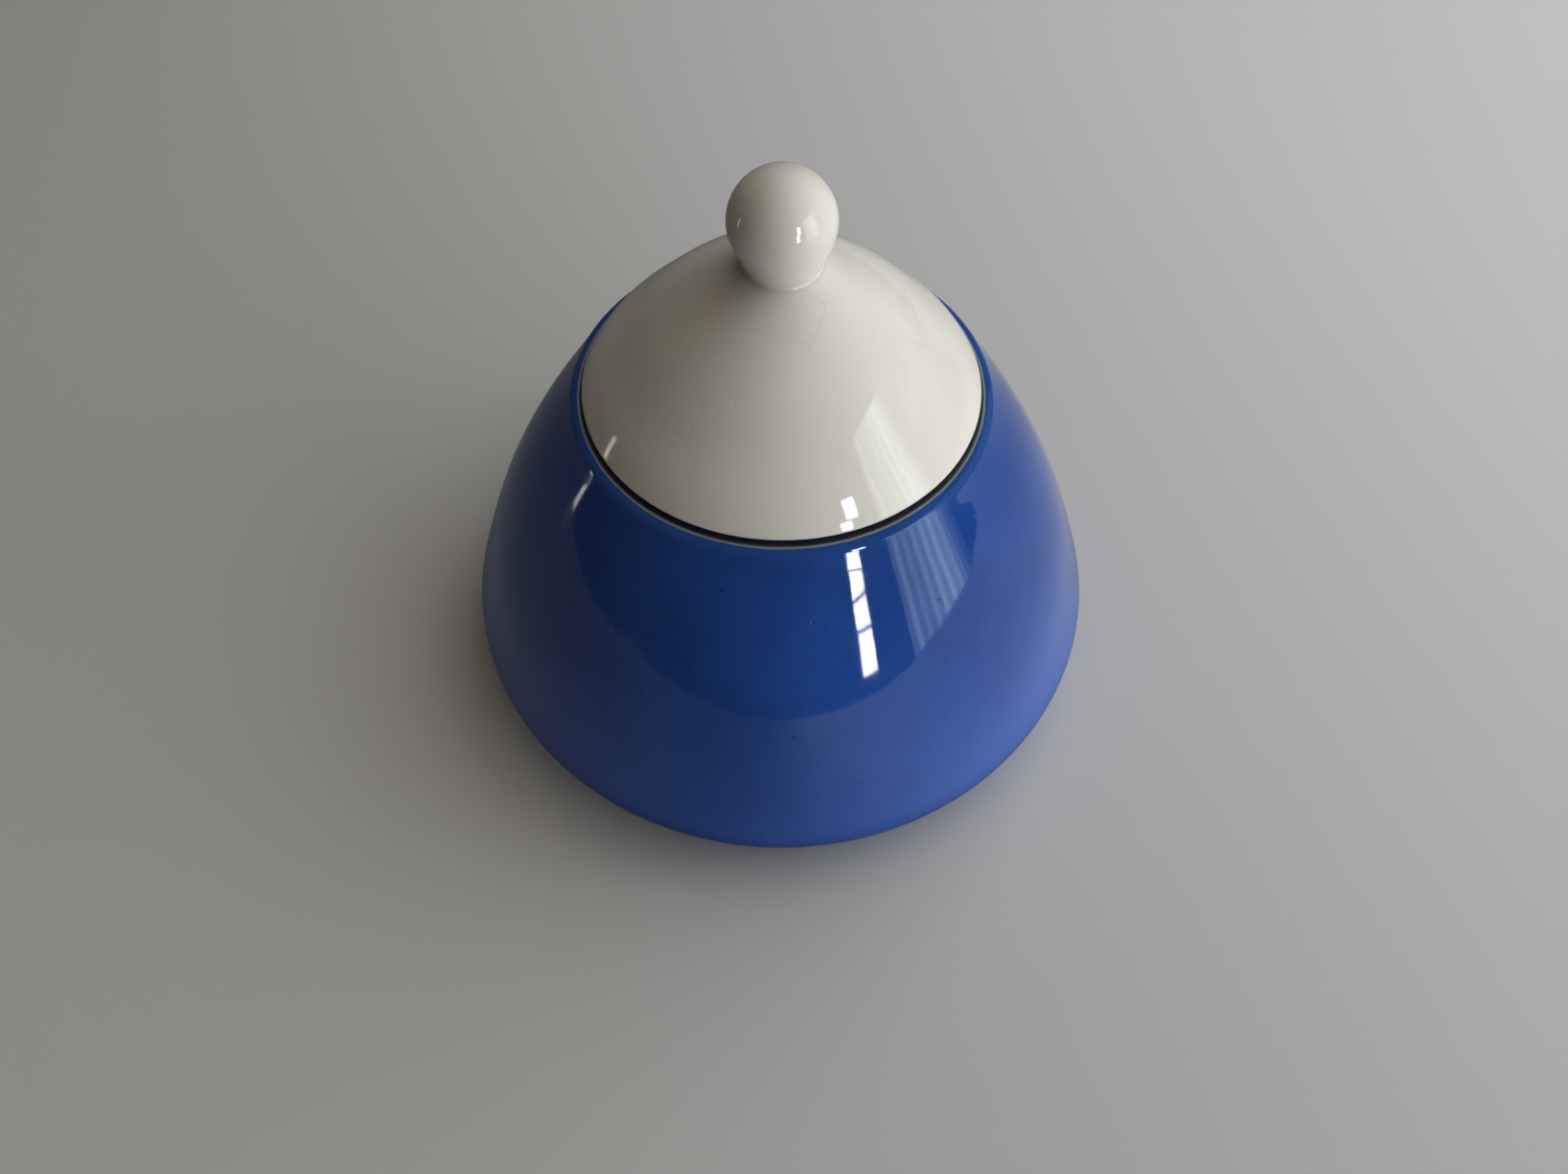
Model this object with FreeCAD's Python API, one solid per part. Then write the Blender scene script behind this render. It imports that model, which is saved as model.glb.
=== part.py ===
import FreeCAD, Part
import math
import os

# Lidded ceramic crock with a ball knob, in millimetres.
# +Z is up, the origin is on the floor at the middle of the foot.

os.makedirs("parts", exist_ok=True)

# Crock, outside
RIM_Z = 79.2
LIP_CORNER_R = 40.7
LIP_ROUND = 2.5
SHOULDER_LEAN = 32.0
FOOT_R = 60.5
FOOT_EDGE = 1.5

# Crock, foot ring and inside
FOOT_RING_IN_R = 53.5
FOOT_RECESS = 3.0
FLOOR_TOP_Z = 9.5
FLOOR_ROUND = 7.5
INSIDE_R = 63.5
WALL = 5.0
MOUTH_R = 34.5
MOUTH_ROUND = 0.7

# Lid
LID_EDGE_R = 38.8
LID_EDGE_GAP = 1.4
LID_EDGE_ROUND = 0.4
LID_SEAT_R = 36.8
LID_WALL = 4.0
FLANGE_R = 33.3
FLANGE_THICK = 3.5
FLANGE_DEPTH = 8.0

# Knob
BALL_R = 9.6
BALL_Z = 118.6
NECK_R = 7.1
NECK_LEAN = 21.0
NECK_ROUND = 0.6
NECK_SLOPE = 27.0

# Outside of the crock from just above the foot to the shoulder, as (radius, height)
CROCK_STATIONS = [
    (64.1, 4.8),
    (70.0, 17.5),
    (68.2, 25.2),
    (62.4, 40.9),
    (52.9, 59.7),
    (47.2, 69.0),
]

# Outside of the lid between its edge and the neck of the knob, as (radius, height)
DOME_STATIONS = [
    (35.9, 85.1),
    (31.5, 90.0),
    (26.0, 95.9),
    (20.1, 101.2),
    (14.0, 105.7),
]

# Heights and radii that follow from the sizes above
LIP_TANGENT = LIP_ROUND * math.tan(math.radians(90 - SHOULDER_LEAN) / 2)
SHOULDER_R = LIP_CORNER_R + LIP_TANGENT * math.sin(math.radians(SHOULDER_LEAN))
SHOULDER_Z = RIM_Z - LIP_TANGENT * math.cos(math.radians(SHOULDER_LEAN))
TAPER_DROP = (BALL_R * math.cos(math.radians(NECK_LEAN)) - NECK_R) / math.tan(math.radians(NECK_LEAN))
NECK_Z = BALL_Z - BALL_R * math.sin(math.radians(NECK_LEAN)) - TAPER_DROP
NECK_MIDDLE_R = NECK_R + NECK_ROUND * math.cos(math.radians(NECK_LEAN))
NECK_MIDDLE_Z = NECK_Z - NECK_ROUND * math.sin(math.radians(NECK_LEAN))
DOME_TOP_R = NECK_MIDDLE_R - NECK_ROUND * math.sin(math.radians(NECK_SLOPE))
DOME_TOP_Z = NECK_MIDDLE_Z - NECK_ROUND * math.cos(math.radians(NECK_SLOPE))


def point(radius, height):
    return FreeCAD.Vector(radius, 0, height)


def way(degrees):
    # Direction in the outline's plane: 0 is outwards, 90 is up.
    turn = math.radians(degrees)
    return FreeCAD.Vector(math.cos(turn), 0, math.sin(turn))


def line(start, end):
    return Part.makeLine(start, end)


def round_arc(middle, radius, start_degrees, end_degrees):
    start = middle + way(start_degrees) * radius
    half = middle + way((start_degrees + end_degrees) / 2) * radius
    end = middle + way(end_degrees) * radius
    return Part.Arc(start, half, end).toShape()


def curve(points, start_degrees, end_degrees):
    spline = Part.BSplineCurve()
    spline.interpolate(
        Points=points,
        InitialTangent=way(start_degrees),
        FinalTangent=way(end_degrees),
    )
    return spline.toShape()


def join(pieces):
    # Adds the straight lines between one curved piece of an outline and the next.
    edges = []
    for index, piece in enumerate(pieces):
        following = pieces[(index + 1) % len(pieces)]
        end = piece.Vertexes[-1].Point
        start = following.Vertexes[0].Point
        edges.append(piece)
        if end.distanceToPoint(start) > 0.001:
            edges.append(line(end, start))
    return edges


def turned(edges):
    outline = Part.Wire(edges)
    axis_start = FreeCAD.Vector(0, 0, 0)
    axis_way = FreeCAD.Vector(0, 0, 1)
    return Part.Face(outline).revolve(axis_start, axis_way, 360)


def crock_outside():
    foot_side = point(FOOT_R - FOOT_EDGE, FOOT_EDGE) + way(-45) * FOOT_EDGE
    points = [foot_side]
    for radius, height in CROCK_STATIONS:
        points.append(point(radius, height))
    points.append(point(SHOULDER_R, SHOULDER_Z))
    return curve(points, 45, 90 + SHOULDER_LEAN)


def crock_inside():
    # Listed from the mouth down. The wall is thicker where the shoulder leans in.
    lean_extras = [0.8, 0.6, 0.3, 0.1]
    points = [point(MOUTH_R, RIM_Z - 2.4)]
    for extra, (radius, height) in zip(lean_extras, reversed(CROCK_STATIONS)):
        points.append(point(radius - WALL - extra, height))
    points.append(point(INSIDE_R, FLOOR_TOP_Z + FLOOR_ROUND))
    return curve(points, 280, 270)


def crock_body():
    floor_round = point(INSIDE_R - FLOOR_ROUND, FLOOR_TOP_Z + FLOOR_ROUND)
    recess_round = point(FOOT_RING_IN_R - 1.2, FOOT_RECESS - 1.2)
    ring_round = point(FOOT_RING_IN_R + 1.0, 1.0)
    foot_round = point(FOOT_R - FOOT_EDGE, FOOT_EDGE)
    lip_round = point(LIP_CORNER_R - LIP_TANGENT, RIM_Z - LIP_ROUND)
    mouth_round = point(MOUTH_R + MOUTH_ROUND, RIM_Z - MOUTH_ROUND)
    middle_line = line(point(0, FLOOR_TOP_Z), point(0, FOOT_RECESS))
    pieces = [
        middle_line,
        round_arc(recess_round, 1.2, 90, 0),
        round_arc(ring_round, 1.0, 180, 270),
        round_arc(foot_round, FOOT_EDGE, -90, -45),
        crock_outside(),
        round_arc(lip_round, LIP_ROUND, SHOULDER_LEAN, 90),
        round_arc(mouth_round, MOUTH_ROUND, 90, 180),
        crock_inside(),
        round_arc(floor_round, FLOOR_ROUND, 0, -90),
    ]
    return turned(join(pieces))


def lid_edge_middle():
    return point(LID_EDGE_R - LID_EDGE_ROUND, RIM_Z + LID_EDGE_GAP)


def undercut_slope():
    # Rise of the underside from the seat to where it meets the rounded edge.
    run = LID_EDGE_R - LID_EDGE_ROUND - LID_SEAT_R
    reach = math.hypot(run, LID_EDGE_GAP)
    return math.degrees(math.atan2(LID_EDGE_GAP, run) - math.asin(LID_EDGE_ROUND / reach))


def dome_outside():
    points = [lid_edge_middle() + way(30) * LID_EDGE_ROUND]
    for radius, height in DOME_STATIONS:
        points.append(point(radius, height))
    points.append(point(DOME_TOP_R, DOME_TOP_Z))
    return curve(points, 120, 180 - NECK_SLOPE)


def dome_inside():
    # The inner face keeps one wall thickness below the outer stations.
    points = [point(0, DOME_TOP_Z - LID_WALL - 0.5)]
    slopes = [34, 39, 44.5, 47.5]
    for slope, (radius, height) in zip(slopes, reversed(DOME_STATIONS)):
        points.append(point(radius, height) + way(270 - slope) * LID_WALL)
    points.append(point(FLANGE_R - FLANGE_THICK, RIM_Z + 4.6))
    return curve(points, 0, 270)


def lid_dome():
    seat_in = point(FLANGE_R - FLANGE_THICK, RIM_Z)
    seat_out = point(LID_SEAT_R, RIM_Z)
    pieces = [
        dome_inside(),
        line(seat_in, seat_out),
        round_arc(lid_edge_middle(), LID_EDGE_ROUND, undercut_slope() - 90, 30),
        dome_outside(),
        line(point(DOME_TOP_R, DOME_TOP_Z), point(0, DOME_TOP_Z)),
    ]
    return turned(join(pieces))


def lid_flange():
    # Locating ring below the dome, with a rounded lower edge and a small root fillet.
    half_thick = FLANGE_THICK / 2
    low_round = point(FLANGE_R - half_thick, RIM_Z - FLANGE_DEPTH + half_thick)
    root_round = point(FLANGE_R + 0.5, RIM_Z - 0.5)
    pieces = [
        round_arc(low_round, half_thick, 180, 360),
        round_arc(root_round, 0.5, 180, 90),
        line(point(FLANGE_R + 0.5, RIM_Z), point(FLANGE_R - FLANGE_THICK, RIM_Z)),
    ]
    return turned(join(pieces))


def lid_knob():
    # The ball tapers straight down to its neck, which meets the dome in a small fillet.
    ball_middle = point(0, BALL_Z)
    neck_middle = point(NECK_MIDDLE_R, NECK_MIDDLE_Z)
    pieces = [
        round_arc(neck_middle, NECK_ROUND, 270 - NECK_SLOPE, 180 - NECK_LEAN),
        round_arc(ball_middle, BALL_R, -NECK_LEAN, 90),
        line(point(0, BALL_Z + BALL_R), point(0, DOME_TOP_Z)),
    ]
    return turned(join(pieces))


def save(shape, node):
    shape.exportStep("parts/" + node + ".step")


save(crock_body(), "crock_body")
save(lid_dome(), "lid_dome")
save(lid_flange(), "lid_flange")
save(lid_knob(), "lid_knob")
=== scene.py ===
import math

import bpy
import numpy as np
from mathutils import Matrix, Vector


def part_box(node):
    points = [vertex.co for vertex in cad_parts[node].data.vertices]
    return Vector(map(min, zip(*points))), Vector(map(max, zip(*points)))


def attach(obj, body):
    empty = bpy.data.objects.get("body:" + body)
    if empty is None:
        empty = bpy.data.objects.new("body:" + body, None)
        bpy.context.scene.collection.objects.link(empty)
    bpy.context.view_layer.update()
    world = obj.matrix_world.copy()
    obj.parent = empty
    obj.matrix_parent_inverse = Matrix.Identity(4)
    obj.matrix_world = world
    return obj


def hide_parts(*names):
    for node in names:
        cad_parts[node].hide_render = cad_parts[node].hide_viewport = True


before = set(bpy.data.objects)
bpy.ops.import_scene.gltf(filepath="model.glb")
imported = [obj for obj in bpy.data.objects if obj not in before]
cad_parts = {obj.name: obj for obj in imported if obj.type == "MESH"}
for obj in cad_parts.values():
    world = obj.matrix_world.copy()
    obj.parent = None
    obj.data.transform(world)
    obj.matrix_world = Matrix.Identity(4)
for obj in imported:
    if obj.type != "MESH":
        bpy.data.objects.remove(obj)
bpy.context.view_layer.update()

# Looks for the lidded crock. Outlines are (radius, height) in millimetres and are turned about +Z.
# MM makes metres of them at the size of the CAD frame.

CROCK_WIDTH = 140.0
crock_low, crock_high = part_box("crock_body")
dome_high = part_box("lid_dome")[1]
flange_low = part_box("lid_flange")[0]
knob_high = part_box("lid_knob")[1]
MM = (crock_high[0] - crock_low[0]) / CROCK_WIDTH
RIM = crock_high[2] / MM
EDGE_R = dome_high[0] / MM
FLANGE_LOW = flange_low[2] / MM
BALL_R = knob_high[0] / MM
BALL_Z = knob_high[2] / MM - BALL_R

# The CAD's other driving sizes: outside of the crock, its foot and its inside
CROCK_STATIONS = [(64.1, 4.8), (70.0, 17.5), (68.2, 25.2), (62.4, 40.9), (52.9, 59.7), (47.2, 69.0)]
LIP_CORNER_R, LIP_ROUND, SHOULDER_LEAN = 40.7, 2.5, 32.0
FOOT_R, FOOT_EDGE, FOOT_RING_IN_R, FOOT_RECESS = 60.5, 1.5, 53.5, 3.0
RECESS_ROUND, RING_ROUND = 1.2, 1.0
FLOOR_TOP, FLOOR_ROUND, INSIDE_R, WALL = 9.5, 7.5, 63.5, 5.0
MOUTH_R, MOUTH_ROUND, MOUTH_DEPTH = 34.5, 0.7, 2.4

# The lid's dome, the flange below it and the knob's neck
DOME_STATIONS = [(35.9, 85.1), (31.5, 90.0), (26.0, 95.9), (20.1, 101.2), (14.0, 105.7)]
EDGE_GAP, EDGE_ROUND, SEAT_R, LID_WALL = 1.4, 0.4, 36.8, 4.0
FLANGE_R, FLANGE_BORE_R, FLANGE_HALF, FLANGE_ROOT = 33.3, 29.8, 1.75, 0.5
NECK_R, NECK_ROUND, NECK_LEAN, NECK_SLOPE = 7.1, 0.6, 21, 27


# ---------------------------------------------------------------- outlines

def clamped_curve(points, start_deg, end_deg, step=0.25):
    """Points along a smooth curve through the given (radius, height) points."""
    p = np.array(points, float)
    chord = np.hypot(*np.diff(p, axis=0).T)
    s = np.concatenate([[0.0], np.cumsum(chord)])
    n = len(p)
    a = np.zeros((n, n))
    b = np.zeros((n, 2))
    a[0, 0] = a[-1, -1] = 1.0
    b[0] = [math.cos(math.radians(start_deg)), math.sin(math.radians(start_deg))]
    b[-1] = [math.cos(math.radians(end_deg)), math.sin(math.radians(end_deg))]
    for i in range(1, n - 1):
        h0, h1 = chord[i - 1], chord[i]
        a[i, i - 1] = h1
        a[i, i] = 2 * (h0 + h1)
        a[i, i + 1] = h0
        b[i] = 3 * (h1 * (p[i] - p[i - 1]) / h0 + h0 * (p[i + 1] - p[i]) / h1)
    slopes = np.linalg.solve(a, b)
    out = []
    for i in range(n - 1):
        h = chord[i]
        count = max(2, int(math.ceil(h / step)))
        u = (np.arange(count) / count)[:, None]
        h00 = 2 * u**3 - 3 * u**2 + 1
        h10 = u**3 - 2 * u**2 + u
        h01 = -2 * u**3 + 3 * u**2
        h11 = u**3 - u**2
        out.append(h00 * p[i] + h10 * h * slopes[i] + h01 * p[i + 1] + h11 * h * slopes[i + 1])
    out.append(p[-1:])
    return np.concatenate(out)


def round_arc(middle, radius, start_deg, end_deg, count=14):
    t = np.radians(np.linspace(start_deg, end_deg, count))
    return np.stack([middle[0] + radius * np.cos(t), middle[1] + radius * np.sin(t)], 1)


def straight(start, end, step=0.5):
    start, end = np.array(start, float), np.array(end, float)
    count = max(2, int(math.ceil(np.hypot(*(end - start)) / step)) + 1)
    return start + (end - start) * np.linspace(0, 1, count)[:, None]


class Outline:
    """A profile made of parts, each with a finish. Finish borders are kept as lengths along it."""

    def __init__(self):
        self.points = np.zeros((0, 2))
        self.borders = []

    def add(self, points, finish=None):
        points = np.array(points, float)
        if len(self.points):
            gap = np.hypot(*(points[0] - self.points[-1]))
            if gap < 1e-6:
                points = points[1:]
        if finish is not None:
            self.borders.append([len(self.points), finish])
        self.points = np.concatenate([self.points, points])

    def close(self):
        keep = np.concatenate([[True], np.hypot(*np.diff(self.points, axis=0).T) > 1e-7])
        index = np.cumsum(keep) - 1
        self.borders = [[index[min(i, len(index) - 1)], f] for i, f in self.borders]
        self.points = self.points[keep]
        self.s = np.concatenate([[0.0], np.cumsum(np.hypot(*np.diff(self.points, axis=0).T))])
        tangent = np.gradient(self.points, self.s, axis=0)
        tangent /= np.linalg.norm(tangent, axis=1)[:, None]
        self.normal = np.stack([tangent[:, 1], -tangent[:, 0]], 1)
        return self

    def at(self, s):
        r = np.interp(s, self.s, self.points[:, 0])
        z = np.interp(s, self.s, self.points[:, 1])
        nr = np.interp(s, self.s, self.normal[:, 0])
        nz = np.interp(s, self.s, self.normal[:, 1])
        return r, z, nr, nz


def crock_outline():
    """From the middle of the recess below, round the outside and the lip, to the middle inside."""
    tangent = LIP_ROUND * math.tan(math.radians(90 - SHOULDER_LEAN) / 2)
    shoulder = (LIP_CORNER_R + tangent * math.sin(math.radians(SHOULDER_LEAN)),
                RIM - tangent * math.cos(math.radians(SHOULDER_LEAN)))
    foot_r = FOOT_R - FOOT_EDGE
    foot = (foot_r + FOOT_EDGE * math.cos(math.radians(45)),
            FOOT_EDGE - FOOT_EDGE * math.sin(math.radians(45)))
    recess = (FOOT_RING_IN_R - RECESS_ROUND, FOOT_RECESS - RECESS_ROUND)
    ring = (FOOT_RING_IN_R + RING_ROUND, RING_ROUND)
    lip = (LIP_CORNER_R - tangent, RIM - LIP_ROUND)
    mouth = (MOUTH_R + MOUTH_ROUND, RIM - MOUTH_ROUND)
    floor_edge = (INSIDE_R - FLOOR_ROUND, FLOOR_TOP + FLOOR_ROUND)
    inside = [(MOUTH_R, RIM - MOUTH_DEPTH)]
    for extra, (r, z) in zip([0.8, 0.6, 0.3, 0.1], reversed(CROCK_STATIONS)):
        inside.append((r - WALL - extra, z))
    inside.append((INSIDE_R, floor_edge[1]))
    o = Outline()
    o.add(straight((0, FOOT_RECESS), (recess[0], FOOT_RECESS), 1.6), "glaze")
    o.add(round_arc(recess, RECESS_ROUND, 90, 0))
    o.add(straight((FOOT_RING_IN_R, recess[1]), (FOOT_RING_IN_R, ring[1]), 0.2), "clay")
    o.add(round_arc(ring, RING_ROUND, 180, 270))
    o.add(straight((ring[0], 0), (foot_r, 0), 0.3))
    o.add(round_arc((foot_r, FOOT_EDGE), FOOT_EDGE, -90, -45))
    body = clamped_curve([foot] + CROCK_STATIONS + [shoulder], 45, 90 + SHOULDER_LEAN, 0.3)
    bare = body[:, 1] < FOOT_EDGE
    o.add(body[bare])
    o.add(body[~bare], "glaze")
    o.add(round_arc(lip, LIP_ROUND, SHOULDER_LEAN, 90, 24))
    o.add(straight((lip[0], RIM), (mouth[0], RIM), 0.12), "land")
    o.add(round_arc(mouth, MOUTH_ROUND, 90, 180))
    o.add(straight((MOUTH_R, mouth[1]), (MOUTH_R, RIM - MOUTH_DEPTH), 0.2), "liner")
    o.add(clamped_curve(inside, 280, 270, 0.8))
    o.add(round_arc(floor_edge, FLOOR_ROUND, 0, -90, 20))
    o.add(straight((floor_edge[0], FLOOR_TOP), (0, FLOOR_TOP), 1.6))
    return o.close()


def neck():
    """The middle of the fillet where the taper below the ball meets the dome, and its lower end."""
    lean, slope = math.radians(NECK_LEAN), math.radians(NECK_SLOPE)
    drop = (BALL_R * math.cos(lean) - NECK_R) / math.tan(lean)
    neck_z = BALL_Z - BALL_R * math.sin(lean) - drop
    middle = (NECK_R + NECK_ROUND * math.cos(lean), neck_z - NECK_ROUND * math.sin(lean))
    foot = (middle[0] - NECK_ROUND * math.sin(slope), middle[1] - NECK_ROUND * math.cos(slope))
    return middle, foot


def dome_outline():
    """From the top of the hollow, down and round the edge, to the flat that the knob stands on."""
    edge = (EDGE_R - EDGE_ROUND, RIM + EDGE_GAP)
    run = edge[0] - SEAT_R
    reach = math.hypot(run, EDGE_GAP)
    under = math.degrees(math.atan2(EDGE_GAP, run) - math.asin(EDGE_ROUND / reach))
    top = neck()[1]
    hollow_low = RIM + 4.6
    hollow = [(0, top[1] - LID_WALL - 0.5)]
    for slope, (r, z) in zip([34, 39, 44.5, 47.5], reversed(DOME_STATIONS)):
        t = math.radians(270 - slope)
        hollow.append((r + LID_WALL * math.cos(t), z + LID_WALL * math.sin(t)))
    hollow.append((FLANGE_BORE_R, hollow_low))
    arc = round_arc(edge, EDGE_ROUND, under - 90, 30, 16)
    o = Outline()
    o.add(clamped_curve(hollow, 0, 270, 0.8), "glaze")
    o.add(straight((FLANGE_BORE_R, hollow_low), (FLANGE_BORE_R, RIM), 0.6))
    o.add(straight((FLANGE_BORE_R, RIM), (SEAT_R, RIM), 0.4), "clay")
    o.add(straight((SEAT_R, RIM), arc[0], 0.15))
    o.add(arc, "glaze")
    o.add(clamped_curve([arc[-1]] + DOME_STATIONS + [top], 120, 180 - NECK_SLOPE, 0.3))
    o.add(straight(top, (0, top[1]), 1.0), "clay")
    return o.close()


def flange_outline():
    """A loop: down the bore, round the lower edge and up to the dome. Clay shows on the outside."""
    low = (FLANGE_BORE_R + FLANGE_HALF, FLANGE_LOW + FLANGE_HALF)
    root = (FLANGE_R + FLANGE_ROOT, RIM - FLANGE_ROOT)
    o = Outline()
    o.add(straight((FLANGE_BORE_R, RIM), (FLANGE_BORE_R, low[1]), 0.4), "glaze")
    o.add(round_arc(low, FLANGE_HALF, 180, 250, 14))
    o.add(round_arc(low, FLANGE_HALF, 250, 360, 20), "clay")
    o.add(straight((FLANGE_R, low[1]), (FLANGE_R, root[1]), 0.3))
    o.add(round_arc(root, FLANGE_ROOT, 180, 90, 8))
    o.add(straight((root[0], RIM), (FLANGE_BORE_R, RIM), 0.5))
    return o.close()


def knob_outline():
    """From the middle of the flat below, up the fillet and the taper, to the ball's top."""
    low = round_arc(neck()[0], NECK_ROUND, 270 - NECK_SLOPE, 180 - NECK_LEAN, 12)
    ball = round_arc((0, BALL_Z), BALL_R, -NECK_LEAN, 90, 90)
    o = Outline()
    o.add(straight((0, low[0][1]), low[0], 0.8), "clay")
    o.add(low, "glaze")
    o.add(straight(low[-1], ball[0], 0.3))
    o.add(ball)
    return o.close()


# ---------------------------------------------------------------- meshes

def ripple(seed, turns, lengths, count=10):
    """A smooth, repeatable wobble of (angle, length along the outline), about -1 to 1."""
    rng = np.random.RandomState(seed)
    waves = []
    for _ in range(count):
        k = rng.randint(turns[0], turns[1] + 1)
        w = 2 * math.pi / rng.uniform(*lengths)
        waves.append((k, w, rng.uniform(0, 2 * math.pi), rng.uniform(0.5, 1.0)))
    total = sum(v[3] for v in waves) ** 0.5

    def value(angle, s):
        out = 0.0
        for k, w, phase, size in waves:
            out = out + size * np.sin(k * angle + w * s + phase)
        return out / total / 1.6

    return value


def turn_mesh(name, outline, finishes, rows_step, segments, lift, wobble=None):
    """Turns an outline into a closed mesh, one material slot per finish.

    S is the length along the outline and A the angle, one of each per vertex. rows_step gives the
    spacing of the rings at S, lift moves the surface out at (S, A), and wobble says how far the
    border of each finish wanders, all in millimetres.
    """
    wobble = wobble or {}
    total = outline.s[-1]
    border_s = [float(outline.s[i]) for i, _ in outline.borders]
    marks = sorted(set([0.0, total] + border_s))
    rows = []
    for a, b in zip(marks[:-1], marks[1:]):
        picked = [a]
        for value in outline.s[(outline.s >= a - 1e-9) & (outline.s <= b + 1e-9)]:
            gap = rows_step(value)
            if value - picked[-1] >= gap and b - value >= gap * 0.5:
                picked.append(float(value))
        picked.append(b)
        rows += picked if not rows else picked[1:]
    rows = np.array(rows)
    angle = np.arange(segments) * 2 * math.pi / segments
    S, A = np.meshgrid(rows, angle, indexing="ij")

    # The waves are so long along the outline that a border's line depends on the angle alone.
    border_line = ripple(11, (2, 9), (1e6, 2e6))
    shift = np.zeros_like(S)
    for s0, (_, finish) in list(zip(border_s, outline.borders))[1:]:
        size = wobble.get(finish, 0.0)
        shift += size * border_line(A + s0, 0 * S) * np.exp(-((S - s0) / (size * 4 + 1e-6)) ** 2)
    r, z, nr, nz = outline.at(np.clip(S + shift, 0, total))
    out = lift(S, A) * np.minimum(1.0, r / 3.0)
    r = np.maximum(r + nr * out, 0.0)
    z = z + nz * out
    grid = np.stack([r * np.cos(A) * MM, r * np.sin(A) * MM, z * MM], -1)
    names = list(dict.fromkeys(f for _, f in outline.borders))
    faces, slots = [], []

    def slot_at(value):
        k = np.searchsorted(border_s, value + 1e-9, side="right") - 1
        return names.index(outline.borders[max(k, 0)][1])

    def add_band(a, b, slot):
        """Quads between the ring of vertices that starts at a and the one that starts at b."""
        for j in range(segments):
            k = (j + 1) % segments
            faces.append((a + j, a + k, b + k, b + j))
            slots.append(slot)

    if outline.points[0][0] < 1e-6:
        # The outline starts and ends on the axis, where triangles close it to a point.
        rings, base = grid[1:-1], 2
        verts = [[0, 0, z[0].mean() * MM], [0, 0, z[-1].mean() * MM]]
        last = base + (len(rings) - 1) * segments
        for j in range(segments):
            k = (j + 1) % segments
            faces.append((0, base + k, base + j))
            slots.append(slot_at(rows[0]))
            faces.append((1, last + j, last + k))
            slots.append(slot_at(rows[-2]))
        ring_rows = rows[1:]
    else:
        # The outline is a loop, so its last ring is its first.
        rings, base = grid[:-1], 0
        verts = []
        ring_rows = rows
    verts += rings.reshape(-1, 3).tolist()
    for i in range(len(rings) - 1):
        a = base + i * segments
        add_band(a, a + segments, slot_at(ring_rows[i]))
    if base == 0:
        add_band((len(rings) - 1) * segments, 0, slot_at(rows[-2]))
    mesh = bpy.data.meshes.new(name)
    mesh.from_pydata(verts, [], faces)
    for finish in names:
        mesh.materials.append(finishes[finish])
    mesh.polygons.foreach_set("material_index", slots)
    mesh.polygons.foreach_set("use_smooth", [True] * len(faces))
    mesh.update()
    mesh.validate()
    mesh.set_sharp_from_angle(angle=math.radians(38))
    obj = bpy.data.objects.new(name, mesh)
    bpy.context.scene.collection.objects.link(obj)
    return obj


# ---------------------------------------------------------------- materials

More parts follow.
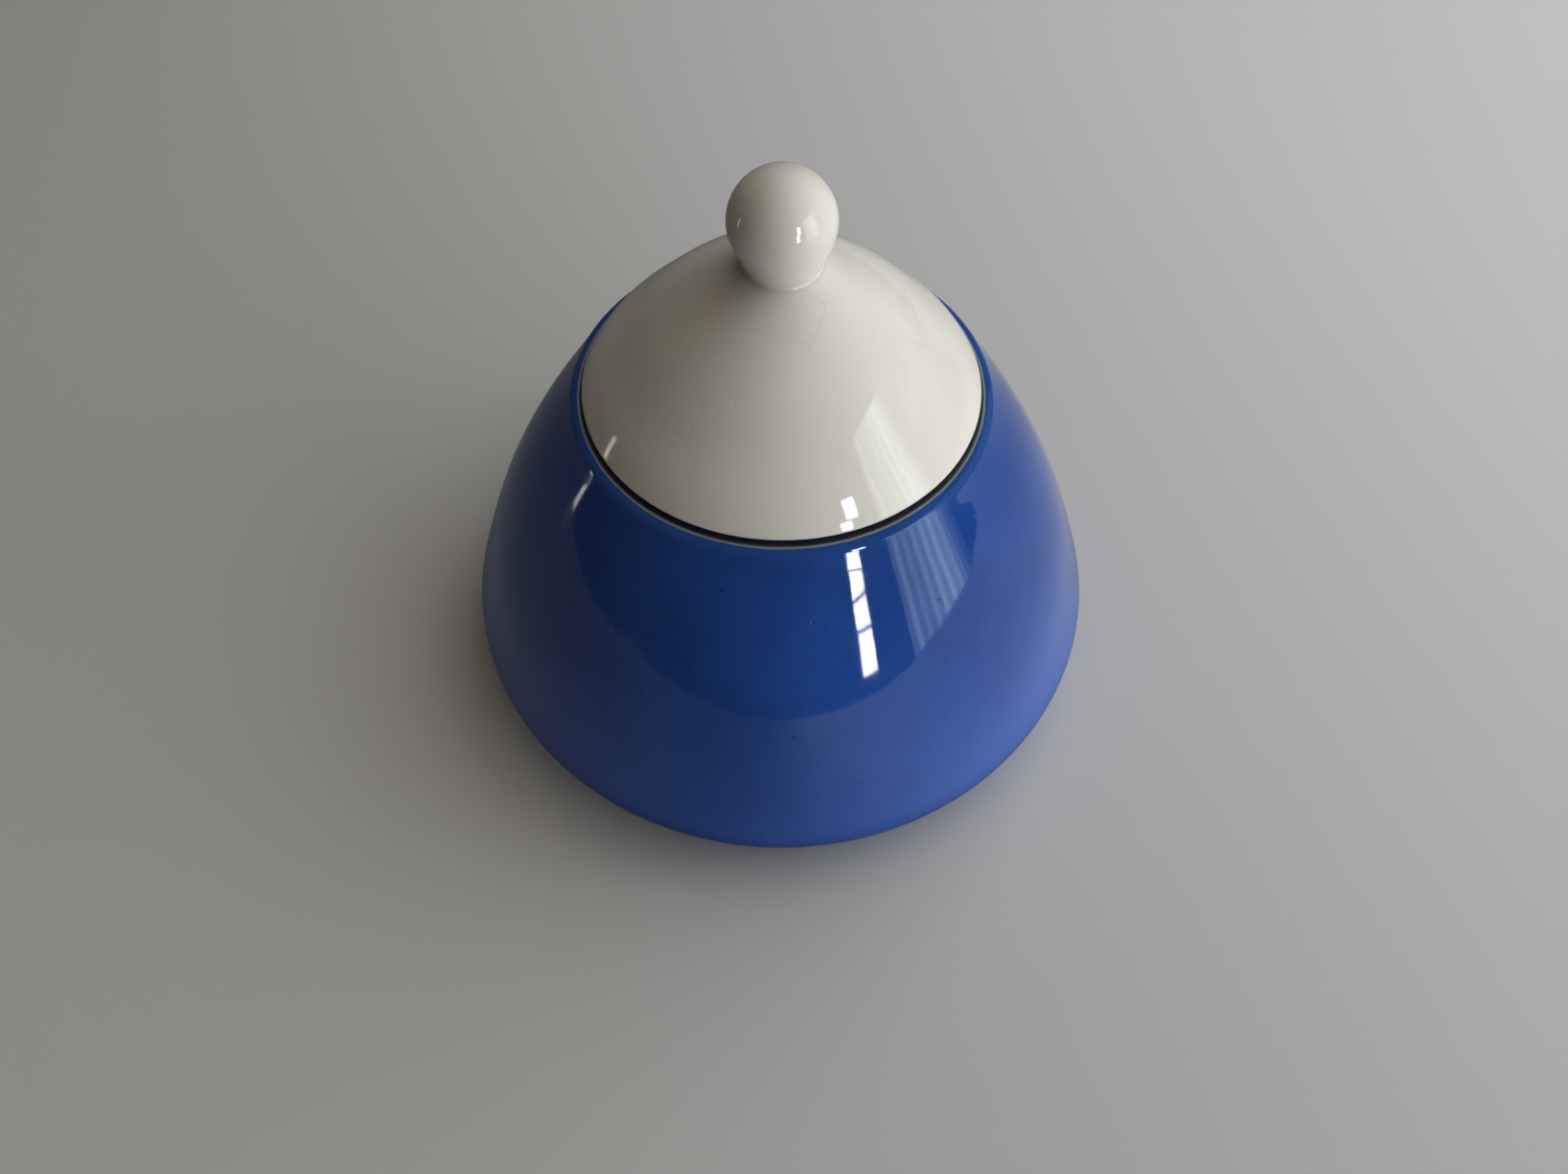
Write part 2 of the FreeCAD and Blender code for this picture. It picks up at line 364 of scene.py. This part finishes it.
class Nodes:
    """Small helper that adds shader nodes and links them."""

    def __init__(self, name):
        self.material = bpy.data.materials.new(name)
        self.material.use_nodes = True
        self.tree = self.material.node_tree
        self.shader = self.tree.nodes["Principled BSDF"]
        self.place = self.add("ShaderNodeTexCoord").outputs["Object"]

    def add(self, kind, **settings):
        node = self.tree.nodes.new(kind)
        for key, value in settings.items():
            setattr(node, key, value)
        return node

    def link(self, source, target):
        self.tree.links.new(source, target)

    def feed(self, socket, value):
        """Sets a number or a colour, or links another node's output."""
        if isinstance(value, (int, float)):
            socket.default_value = value
        elif isinstance(value, tuple):
            socket.default_value = value + (1.0,)
        else:
            self.link(value, socket)

    def stretched(self, stretch):
        mapping = self.add("ShaderNodeMapping")
        mapping.inputs["Scale"].default_value = stretch
        self.link(self.place, mapping.inputs["Vector"])
        return mapping.outputs["Vector"]

    def noise(self, scale, detail=3.0, rough=0.5, stretch=(1, 1, 1)):
        node = self.add("ShaderNodeTexNoise")
        node.inputs["Scale"].default_value = scale
        node.inputs["Detail"].default_value = detail
        node.inputs["Roughness"].default_value = rough
        self.link(self.stretched(stretch), node.inputs["Vector"])
        return node.outputs["Fac"]

    def math(self, operation, a, b):
        node = self.add("ShaderNodeMath", operation=operation)
        self.feed(node.inputs[0], a)
        if b is not None:
            self.feed(node.inputs[1], b)
        return node.outputs[0]

    def root(self, a):
        return self.math("SQRT", a, None)

    def span(self, value, low, high, to_low=0.0, to_high=1.0):
        """Goes smoothly from to_low to to_high as value goes from low to high."""
        node = self.add("ShaderNodeMapRange", interpolation_type="SMOOTHSTEP")
        self.link(value, node.inputs["Value"])
        node.inputs["From Min"].default_value = low
        node.inputs["From Max"].default_value = high
        node.inputs["To Min"].default_value = to_low
        node.inputs["To Max"].default_value = to_high
        return node.outputs["Result"]

    def mix(self, fac, a, b):
        node = self.add("ShaderNodeMix", data_type="RGBA")
        for index, value in ((0, fac), (6, a), (7, b)):
            self.feed(node.inputs[index], value)
        return node.outputs[2]

    def bump(self, height, distance, normal=None):
        node = self.add("ShaderNodeBump")
        node.inputs["Distance"].default_value = distance
        self.link(height, node.inputs["Height"])
        if normal is not None:
            self.link(normal, node.inputs["Normal"])
        return node.outputs["Normal"]

    def radius_and_height(self):
        split = self.add("ShaderNodeSeparateXYZ")
        self.link(self.place, split.inputs[0])
        squares = self.math("ADD", self.math("MULTIPLY", split.outputs[0], split.outputs[0]),
                            self.math("MULTIPLY", split.outputs[1], split.outputs[1]))
        return self.root(squares), split.outputs[2]

    def pits(self, scale, size, stretch=(1, 1, 1)):
        """1 on small scattered round spots, 0 elsewhere."""
        node = self.add("ShaderNodeTexVoronoi", feature="F1")
        node.inputs["Scale"].default_value = scale
        self.link(self.stretched(stretch), node.inputs["Vector"])
        near = self.span(node.outputs["Distance"], size, size * 0.35)
        chance = self.add("ShaderNodeSeparateColor")
        self.link(node.outputs["Color"], chance.inputs[0])
        return self.math("MULTIPLY", near, self.math("GREATER_THAN", chance.outputs[0], 0.72))


def cobalt_glaze():
    """Deep blue glaze that thins on the lip to a paler blue and then to a fine cream line."""
    n = Nodes("cobalt_glaze")
    radius, height = n.radius_and_height()
    cloud = n.noise(24.0, 4.0, 0.55)
    flow = n.noise(60.0, 3.0, 0.6, stretch=(1, 1, 0.18))
    grain = n.noise(420.0, 2.0, 0.6)
    deep = n.mix(n.span(cloud, 0.32, 0.68), (0.0155, 0.065, 0.285), (0.0235, 0.090, 0.375))
    deep = n.mix(n.math("MULTIPLY", n.span(flow, 0.5, 0.8), 0.30), deep, (0.034, 0.119, 0.43))
    deep = n.mix(n.math("MULTIPLY", n.span(grain, 0.55, 0.8), 0.22), deep, (0.010, 0.036, 0.20))
    # Lighter, brighter blue low on the belly: painted light, standing in for light bounced up from
    # the floor.
    painted_floor_bounce = n.math("MULTIPLY", n.span(height, 46.0 * MM, 12.0 * MM), 0.55)
    deep = n.mix(painted_floor_bounce, deep, (0.029, 0.119, 0.49))
    uneven = n.math("MULTIPLY", n.math("SUBTRACT", n.noise(90.0, 3.0, 0.6), 0.5), 0.0030)
    level = n.math("ADD", height, uneven)
    glow = n.math("POWER", n.span(level, (RIM - 4.6) * MM, (RIM - 0.2) * MM), 2.0)
    colour = n.mix(n.math("MULTIPLY", glow, 0.14), deep, (0.050, 0.155, 0.31))
    fine = n.math("MULTIPLY", n.math("SUBTRACT", n.noise(260.0, 2.0, 0.5), 0.5), 0.0003)
    reach = n.math("ADD", radius, fine)
    top = n.span(height, (RIM - 1.6) * MM, (RIM - 1.2) * MM)
    cream = n.math("MULTIPLY", top, n.span(reach, 39.92 * MM, 39.70 * MM))
    colour = n.mix(n.math("MULTIPLY", cream, 0.62), colour, (0.44, 0.47, 0.44))
    bare = n.math("MULTIPLY", top, n.span(reach, 39.50 * MM, 39.38 * MM))
    colour = n.mix(bare, colour, (0.105, 0.098, 0.088))
    foot = n.span(level, 4.2 * MM, 1.6 * MM)
    colour = n.mix(n.math("MULTIPLY", foot, 0.55), colour, (0.006, 0.016, 0.075))
    speck = n.pits(300.0, 0.13)
    colour = n.mix(n.math("MULTIPLY", speck, 0.5), colour, (0.006, 0.014, 0.060))
    dust = n.pits(190.0, 0.06, stretch=(1.0, 1.1, 0.9))
    colour = n.mix(n.math("MULTIPLY", dust, 0.35), colour, (0.20, 0.30, 0.52))
    n.link(colour, n.shader.inputs["Base Color"])
    smear = n.span(n.noise(38.0, 3.0, 0.6), 0.35, 0.7, 0.035, 0.075)
    rough = n.math("ADD", smear, n.math("MULTIPLY", bare, 0.4))
    n.link(rough, n.shader.inputs["Roughness"])
    n.shader.inputs["IOR"].default_value = 1.48
    orange = n.bump(n.noise(230.0, 2.0, 0.5), 0.000012)
    wave = n.bump(n.noise(60.0, 2.0, 0.4), 0.00005, normal=orange)
    n.link(n.bump(speck, -0.00004, normal=wave), n.shader.inputs["Normal"])
    return n.material


def seat_glaze_and_shade():
    """The flat rim: painted near-black navy under the lid as the shade in the gap below the lid's
    edge, and worn to bare grey-brown at its outer edge.
    """
    n = Nodes("seat_glaze_and_shade")
    radius, _ = n.radius_and_height()
    grit = n.noise(900.0, 3.0, 0.7)
    cloud = n.noise(160.0, 3.0, 0.6)
    fine = n.math("MULTIPLY", n.math("SUBTRACT", n.noise(240.0, 2.0, 0.5), 0.5), 0.0003)
    # Near-black navy inside the worn ring: painted shade of the gap under the lid's edge.
    dark = n.mix(n.span(cloud, 0.35, 0.65), (0.014, 0.020, 0.046), (0.020, 0.032, 0.080))
    bare = n.mix(n.span(grit, 0.4, 0.7), (0.085, 0.078, 0.070), (0.125, 0.115, 0.102))
    worn = n.span(n.math("ADD", radius, fine), 39.08 * MM, 39.22 * MM)
    n.link(n.mix(worn, dark, bare), n.shader.inputs["Base Color"])
    n.link(n.span(worn, 0.0, 1.0, 0.28, 0.62), n.shader.inputs["Roughness"])
    n.link(n.bump(grit, 0.00004), n.shader.inputs["Normal"])
    return n.material


def ivory_glaze(name="ivory_glaze", tint=(0.775, 0.770, 0.740)):
    """Cream glaze, a little warmer where it pools, with very faint crazing."""
    n = Nodes(name)
    cloud = n.noise(30.0, 4.0, 0.55)
    warm = tuple(c * f for c, f in zip(tint, (0.965, 0.95, 0.92)))
    colour = n.mix(n.span(cloud, 0.35, 0.7), tint, warm)
    streak = n.noise(75.0, 3.0, 0.55, stretch=(1, 1, 0.2))
    colour = n.mix(n.math("MULTIPLY", n.span(streak, 0.52, 0.78), 0.4), colour,
                   tuple(min(1.0, c * f) for c, f in zip(tint, (1.06, 1.06, 1.08))))
    wander = n.add("ShaderNodeTexNoise")
    wander.inputs["Scale"].default_value = 60.0
    n.link(n.place, wander.inputs["Vector"])
    spread = n.add("ShaderNodeMix", data_type="VECTOR")
    spread.inputs[0].default_value = 0.012
    n.link(n.place, spread.inputs[4])
    n.link(wander.outputs["Color"], spread.inputs[5])
    cracks = n.add("ShaderNodeTexVoronoi", feature="DISTANCE_TO_EDGE")
    cracks.inputs["Scale"].default_value = 95.0
    n.link(spread.outputs[1], cracks.inputs["Vector"])
    line = n.span(cracks.outputs["Distance"], 0.016, 0.004)
    patchy = n.span(n.noise(22.0, 2.0, 0.5), 0.45, 0.7)
    line = n.math("MULTIPLY", line, patchy)
    colour = n.mix(n.math("MULTIPLY", line, 0.14), colour, (0.36, 0.29, 0.19))
    speck = n.pits(260.0, 0.10)
    colour = n.mix(n.math("MULTIPLY", speck, 0.22), colour, (0.33, 0.26, 0.17))
    n.link(colour, n.shader.inputs["Base Color"])
    rough = n.span(n.noise(45.0, 3.0, 0.6), 0.3, 0.75, 0.04, 0.085)
    n.link(rough, n.shader.inputs["Roughness"])
    n.shader.inputs["IOR"].default_value = 1.52
    orange = n.bump(n.noise(200.0, 2.0, 0.5), 0.000008)
    wave = n.bump(n.noise(60.0, 2.0, 0.4), 0.00004, normal=orange)
    n.link(n.bump(line, -0.00001, normal=wave), n.shader.inputs["Normal"])
    return n.material


def clay(name, light, dark):
    """Unglazed fired clay: dry, with sand grains and pores."""
    n = Nodes(name)
    cloud = n.noise(70.0, 4.0, 0.6)
    grit = n.noise(900.0, 3.0, 0.7)
    pore = n.pits(700.0, 0.22)
    colour = n.mix(n.span(cloud, 0.3, 0.7), dark, light)
    colour = n.mix(n.math("MULTIPLY", n.span(grit, 0.45, 0.7), 0.4), colour,
                   tuple(c * 0.72 for c in dark))
    colour = n.mix(n.math("MULTIPLY", pore, 0.6), colour, tuple(c * 0.4 for c in dark))
    n.link(colour, n.shader.inputs["Base Color"])
    n.link(n.span(grit, 0.3, 0.7, 0.62, 0.86), n.shader.inputs["Roughness"])
    height = n.math("SUBTRACT", grit, pore)
    n.link(n.bump(height, 0.00006), n.shader.inputs["Normal"])
    return n.material


# ---------------------------------------------------------------- the pieces

blue = cobalt_glaze()
ivory = ivory_glaze()
liner = ivory_glaze("liner_glaze", (0.74, 0.725, 0.67))
foot_clay = clay("foot_clay", (0.56, 0.50, 0.41), (0.47, 0.41, 0.33))
seat = seat_glaze_and_shade()


def even_rows(step):
    return lambda s: step


def no_lift(S, A):
    return 0.0 * S


crock_shape = crock_outline()
border = {f: float(crock_shape.s[i]) for i, f in crock_shape.borders}
glaze_from = float(crock_shape.s[crock_shape.borders[2][0]])
land_from = border["land"]
liner_from = border["liner"]
handmade = ripple(5, (1, 4), (60, 140), 8)
fine_wave = ripple(6, (3, 11), (14, 40), 12)


def crock_lift(S, A):
    """The glaze ends in a thick roll above the bare foot. The wall has the slight waves of handwork
    and is set back by nearly the glaze's thickness, so that it stays at the CAD's size."""
    on_wall = np.clip((S - glaze_from) / 6.0, 0, 1) * np.clip((land_from - S) / 6.0, 0, 1)
    wave = 0.07 * handmade(A, S) + 0.006 * fine_wave(A, S)
    rings = 0.002 * np.sin(S * 2 * math.pi / 6.5 + 0.6 * np.sin(A) + A)
    past = np.clip(S - glaze_from, 0, None)
    roll = 0.22 * (1 - np.exp(-past / 0.25)) + 0.16 * np.exp(-((past - 0.9) / 0.55) ** 2)
    fade = np.clip((land_from - S) / 2.5, 0, 1) * (S > glaze_from)
    return on_wall * (wave + rings - 0.18) + roll * fade


def crock_rows(s):
    close = min(abs(s - glaze_from), abs(s - land_from + 2.0), abs(s - liner_from))
    if close < 3.0:
        return 0.16
    if glaze_from < s < land_from:
        return 0.62
    return 1.1


crock = turn_mesh(
    "crock_glazed", crock_shape,
    {"glaze": blue, "clay": foot_clay, "land": seat, "liner": liner},
    crock_rows, 288, crock_lift, wobble={"glaze": 0.22, "liner": 0.1})
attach(crock, "crock")
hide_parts("crock_body")

dome_shape = dome_outline()
edge_s = float(dome_shape.s[dome_shape.borders[2][0]])
top_s = float(dome_shape.s[dome_shape.borders[3][0]])
dome_wave = ripple(8, (1, 4), (40, 90), 8)
dome_fine = ripple(9, (3, 10), (10, 30), 12)


def dome_lift(S, A):
    on_dome = np.clip((S - edge_s - 1.0) / 5.0, 0, 1) * np.clip((top_s - S) / 5.0, 0, 1)
    rings = 0.002 * np.sin(S * 2 * math.pi / 5.5 + A)
    return on_dome * (0.05 * dome_wave(A, S) + 0.006 * dome_fine(A, S) + rings)


def dome_rows(s):
    if s < edge_s - 4:
        return 0.9
    return 0.12 if s < edge_s + 2.0 else 0.4


dome = turn_mesh("lid_shell", dome_shape, {"glaze": ivory, "clay": foot_clay},
                 dome_rows, 288, dome_lift)
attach(dome, "lid")
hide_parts("lid_dome")

flange = turn_mesh("lid_ring", flange_outline(), {"glaze": ivory, "clay": foot_clay},
                   even_rows(0.25), 256, no_lift, wobble={"clay": 0.12})
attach(flange, "lid")
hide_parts("lid_flange")

knob = turn_mesh("lid_ball_knob", knob_outline(), {"glaze": ivory, "clay": foot_clay},
                 even_rows(0.2), 192, no_lift)
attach(knob, "lid")
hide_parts("lid_knob")


# ---------------------------------------------------------------- floor, light, camera

def stage_mesh(name, verts, faces, material):
    mesh = bpy.data.meshes.new(name)
    mesh.from_pydata(verts, [], faces)
    mesh.materials.append(material)
    obj = bpy.data.objects.new(name, mesh)
    bpy.context.scene.collection.objects.link(obj)
    return obj


# Half the floor's width, which is also the backdrop's radius and height, and the grey out there
STAGE = 3.0
SIDES = 96
BLACK, FAR_GREY = (0.0, 0.0, 0.0), (0.33, 0.335, 0.34)

# The floor's colour is a touch lighter towards the right and the back, where the light comes from:
# painted light. It fades into the backdrop's grey.
ground = Nodes("floor_grey")
from_pot, _ = ground.radius_and_height()
near = ground.span(from_pot, 0.66, 0.42)
spot = ground.add("ShaderNodeSeparateXYZ")
ground.link(ground.place, spot.inputs[0])
towards_light = ground.math("ADD", spot.outputs[0], ground.math("MULTIPLY", spot.outputs[1], 0.8))
lit_floor_tone = ground.mix(ground.span(towards_light, -0.10, 0.35),
                  (0.585, 0.600, 0.622), (0.68, 0.70, 0.735))
ground.link(ground.mix(near, BLACK, lit_floor_tone), ground.shader.inputs["Base Color"])
ground.link(ground.mix(near, FAR_GREY, BLACK), ground.shader.inputs["Emission Color"])
ground.shader.inputs["Emission Strength"].default_value = 1.0
ground.shader.inputs["Specular IOR Level"].default_value = 0.0
ground.shader.inputs["Roughness"].default_value = 0.8
corners = [(-STAGE, -STAGE, 0), (STAGE, -STAGE, 0), (STAGE, STAGE, 0), (-STAGE, STAGE, 0)]
floor = stage_mesh("floor", corners, [(0, 1, 2, 3)], ground.material)

# Only the camera sees the floor. The glaze sees the sheet below it, which has its own brightness.
floor.visible_glossy = False
floor.visible_diffuse = False
floor.visible_shadow = False

# What the glaze sees of the floor: a sheet of soft light just below it, brighter to the right.
sheen = Nodes("floor_sheen")
along = sheen.add("ShaderNodeSeparateXYZ")
sheen.link(sheen.place, along.inputs[0])
sheen.shader.inputs["Base Color"].default_value = BLACK + (1,)
sheen.shader.inputs["Specular IOR Level"].default_value = 0.0
sheen.shader.inputs["Emission Color"].default_value = (0.97, 0.98, 1.0, 1)
across = sheen.span(along.outputs[0], -0.03, 0.08, 0.20, 0.78)
near, _ = sheen.radius_and_height()
shade = sheen.span(near, 0.066, 0.105, 0.15, 1.0)
behind = sheen.span(along.outputs[1], -0.06, 0.10, 1.0, 0.50)
strength = sheen.math("MULTIPLY", sheen.math("MULTIPLY", across, shade), behind)
sheen.link(strength, sheen.shader.inputs["Emission Strength"])
sheet = stage_mesh("floor_sheen", [(-0.45, -0.40, -0.001), (0.56, -0.40, -0.001),
                                   (0.70, 0.7, -0.001), (-0.45, 0.7, -0.001)],
                   [(0, 1, 2, 3)], sheen.material)
sheet.visible_camera = False
sheet.visible_shadow = False

pale = Nodes("backdrop_grey")
pale.shader.inputs["Base Color"].default_value = BLACK + (1,)
pale.shader.inputs["Specular IOR Level"].default_value = 0.0
pale.shader.inputs["Emission Color"].default_value = FAR_GREY + (1,)
pale.shader.inputs["Emission Strength"].default_value = 1.0
ring = []
for i in range(SIDES):
    a = 2 * math.pi * i / SIDES
    ring.append((STAGE * math.cos(a), STAGE * math.sin(a)))
backdrop = stage_mesh("backdrop", [(x, y, z) for z in (0.0, STAGE) for x, y in ring],
                      [(i, (i + 1) % SIDES, SIDES + (i + 1) % SIDES, SIDES + i)
                       for i in range(SIDES)], pale.material)
backdrop.visible_diffuse = False
backdrop.visible_glossy = False
backdrop.visible_shadow = False


LIGHT_AIM = 0.07


def around(azimuth, elevation, distance):
    """A place round the pot. Azimuth 0 is the camera's side, 90 is to the right."""
    a, e = math.radians(azimuth), math.radians(elevation)
    return (distance * math.cos(e) * math.sin(a), -distance * math.cos(e) * math.cos(a),
            LIGHT_AIM + distance * math.sin(e))


def soft_light(name, azimuth, elevation, distance, size, brightness, colour,
               diffuse=True, glossy=True):
    """A rectangular light that faces the pot. brightness is its radiance."""
    data = bpy.data.lights.new(name, "AREA")
    data.shape = "RECTANGLE"
    data.size, data.size_y = size
    data.energy = brightness * size[0] * size[1] * math.pi
    data.color = colour
    obj = bpy.data.objects.new(name, data)
    obj.location = around(azimuth, elevation, distance)
    way = Vector((0, 0, LIGHT_AIM)) - obj.location
    obj.rotation_euler = way.to_track_quat("-Z", "Y").to_euler()
    obj.visible_camera = False
    obj.visible_diffuse = diffuse
    obj.visible_glossy = glossy
    bpy.context.scene.collection.objects.link(obj)
    return obj


# Three lights for the surfaces and a warm one from above. The glaze doesn't reflect them.
day, warm = (0.99, 0.995, 1.0), (1.0, 0.88, 0.70)
soft_light("side", 64, 8, 1.05, (1.3, 0.62), 2.6, day, glossy=False)
soft_light("front", 38, 0, 1.05, (0.5, 0.62), 1.0, day, glossy=False)
soft_light("back", 118, 42, 0.85, (1.2, 0.9), 1.26, day, glossy=False)
soft_light("ceiling", 60, 78, 2.2, (2.4, 2.4), 0.66, warm, glossy=False)

# What the glaze reflects: a window in four panes, a curtain in folds, a dim room and a gap.
for row, (azimuth, low, high) in enumerate([(31.0, -4.3, 2.5), (31.0, 3.1, 5.9), (31.0, 6.4, 8.6),
                                            (34.5, 9.6, 23.5)]):
    tall = 2.0 * math.radians(high - low)
    soft_light("window_pane_%d" % row, azimuth, (low + high) / 2, 2.0, (0.19, tall), 25.0,
               (1, 1, 1), diffuse=False)
folds = [1.3, 2.8, 1.6, 2.4, 1.7, 3.0, 2.1, 3.8, 2.6, 4.2, 2.7, 3.0, 1.7, 0.9, 0.4]
for fold, brightness in enumerate(folds):
    soft_light("curtain_fold_%d" % fold, 48.0 + 2.15 * fold, 11.0, 2.0, (0.076, 1.38), brightness,
               (0.80, 0.96, 1.0), diffuse=False)
soft_light("room_right", 105, 24, 2.2, (2.2, 1.5), 0.28, (0.95, 0.97, 1.0), diffuse=False)
soft_light("left_gap", -95, -4, 1.0, (0.035, 0.26), 4.5, (1, 1, 1), diffuse=False)

world = bpy.data.worlds.new("room")
world.use_nodes = True
world.node_tree.nodes["Background"].inputs["Color"].default_value = warm + (1.0,)
world.node_tree.nodes["Background"].inputs["Strength"].default_value = 0.05
bpy.context.scene.world = world
view = bpy.context.scene.view_settings
view.view_transform = "Standard"
view.exposure = 0.10
view.gamma = 0.90

# The camera looks down at a point on the pot's axis, with a lens like a phone's main camera.
LENS_MM = 27.9682
elevation, distance, aim_height = math.radians(56.12), 0.29768, 0.00787
yaw, roll = math.radians(0.27), math.radians(0.45)
forward = Vector((math.sin(yaw) * math.cos(elevation), math.cos(yaw) * math.cos(elevation),
                  -math.sin(elevation)))
right = Vector((math.cos(yaw), -math.sin(yaw), 0))
up = right.cross(forward)
right_rolled = right * math.cos(roll) + up * math.sin(roll)
up_rolled = up * math.cos(roll) - right * math.sin(roll)
camera_data = bpy.data.cameras.new("camera")
camera_data.sensor_width = 36.0
camera_data.lens = LENS_MM
camera_data.clip_start = 0.01
camera = bpy.data.objects.new("camera", camera_data)
place = Vector((0, -distance * math.cos(elevation), aim_height + distance * math.sin(elevation)))
turn = Matrix((right_rolled, up_rolled, -forward)).transposed().to_4x4()
camera.matrix_world = Matrix.Translation(place) @ turn
bpy.context.scene.collection.objects.link(camera)
bpy.context.scene.camera = camera
